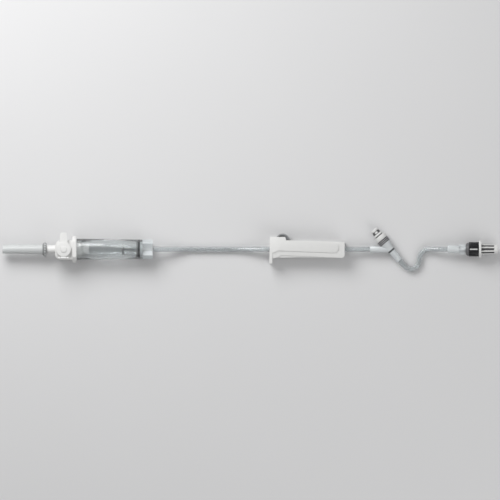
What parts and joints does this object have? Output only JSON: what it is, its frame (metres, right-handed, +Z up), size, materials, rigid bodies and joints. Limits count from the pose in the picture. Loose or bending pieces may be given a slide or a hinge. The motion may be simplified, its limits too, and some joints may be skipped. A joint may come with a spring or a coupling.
{
  "type": "iv infusion set",
  "caption": "Gravity infusion set: covered vented spike, drip chamber with filter, tubing, roller clamp, side port with swabbable valve, and luer lock with vented cap.",
  "frame": {"origin": "on the table under the middle of the set's outline", "axes": "+X along the set from the spike cover to the luer cap, +Y towards the vent flap's tab and the side port's valve, +Z up from the table"},
  "size_m": [0.3965, 0.0353, 0.0184],
  "materials": {
    "clear_plastic": "clear, glossy",
    "clear_tubing": "clear, soft gloss",
    "white_plastic": "white, satin",
    "natural_cover": "natural, slightly see-through",
    "grey_plastic": "dark grey, satin",
    "black_plastic": "black, satin",
    "filter_weave": "fine dark weave",
    "vent_membrane": "white membrane, matt",
    "silicone": "translucent silicone, matt"
  },
  "bodies": {
    "set": {"spike_housing": "white_plastic", "vent_filter": "vent_membrane", "drip_chamber": "clear_plastic", "filter_frame": "grey_plastic", "filter_mesh": "filter_weave", "chamber_base": "clear_plastic", "main_tube": "clear_tubing", "clamp_body": "white_plastic", "y_body": "clear_plastic", "valve_head": "white_plastic", "valve_collar": "grey_plastic", "lower_tube": "clear_tubing", "luer_connector": "clear_plastic"},
    "cover": {"spike_cover": "natural_cover"},
    "flap": {"vent_flap": "white_plastic"},
    "roller": {"clamp_roller": "grey_plastic"},
    "plug": {"valve_plug": "silicone"},
    "collar": {"luer_collar": "black_plastic"},
    "cap": {"luer_cap": "white_plastic", "cap_membrane": "vent_membrane"}
  },
  "joints": [
    {"name": "cover_pull", "type": "slide", "parent": "set", "child": "cover", "axis": [-1, 0, 0], "range_m": [0, 0.036]},
    {"name": "vent_flap_hinge", "type": "hinge", "parent": "set", "child": "flap", "pos_m": [-0.14935, -0.00982, 0.01712], "axis": [1, 0, 0], "range_deg": [0, 110]},
    {"name": "roller_slide", "type": "slide", "parent": "set", "child": "roller", "axis": [0.9945, -0.1045, 0], "range_m": [0, 0.037], "deforming": ["main_tube"]},
    {"name": "valve_press", "type": "slide", "parent": "set", "child": "plug", "axis": [0.6468, -0.7627, 0], "range_m": [0, 0.0035], "stiffness_N_per_m": 600, "springref_m": -0.001},
    {"name": "collar_turn", "type": "hinge", "parent": "set", "child": "collar", "pos_m": [0.1776, -0.00292, 0.0068], "axis": [1, 0, 0], "continuous": true},
    {"name": "cap_pull", "type": "slide", "parent": "collar", "child": "cap", "axis": [1, 0, 0], "range_m": [0, 0.02]}
  ]
}
